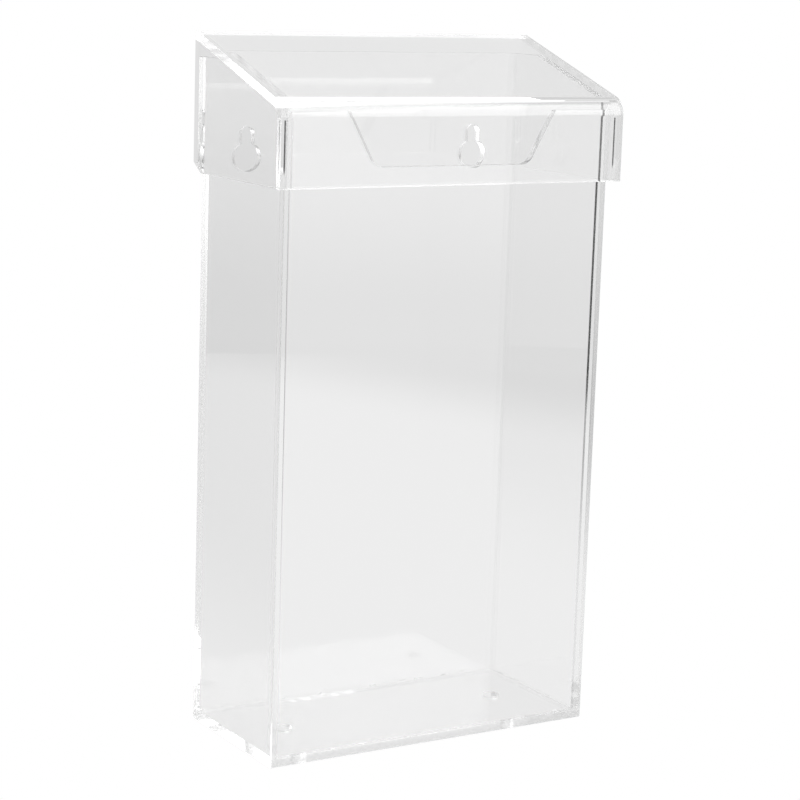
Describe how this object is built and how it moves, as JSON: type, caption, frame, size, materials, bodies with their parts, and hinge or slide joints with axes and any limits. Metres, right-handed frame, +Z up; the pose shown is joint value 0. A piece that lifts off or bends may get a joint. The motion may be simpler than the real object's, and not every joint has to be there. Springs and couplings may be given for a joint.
{
  "type": "outdoor leaflet dispenser",
  "caption": "Clear acrylic wall-hung box with a thumb notch in the front, keyhole hangers in the back and a loose sloping hood that lifts off to reach the contents.",
  "frame": {"origin": "centre of the whole footprint, hood included, on the underside of the base plate", "axes": "+Z up; +Y towards the wall behind, so the front with its notch and skirt faces -Y; +X to the right seen from the front"},
  "size_m": [0.1374, 0.0646, 0.2489],
  "materials": {
    "clear_acrylic": "clear cast acrylic sheet, glossy faces and flame-polished edges",
    "clear_acrylic_hood": "clear cast acrylic sheet, glossy, line-bent, polished edges"
  },
  "bodies": {
    "box": {"base_plate": "clear_acrylic", "back_panel": "clear_acrylic", "front_panel": "clear_acrylic", "left_side_panel": "clear_acrylic", "right_side_panel": "clear_acrylic"},
    "lid": {"lid_top": "clear_acrylic_hood", "lid_left_cheek": "clear_acrylic_hood", "lid_right_cheek": "clear_acrylic_hood"}
  },
  "joints": [
    {"name": "lid_lift", "type": "slide", "parent": "box", "child": "lid", "axis": [0, 0, 1], "range_m": [0, 0.05]}
  ]
}
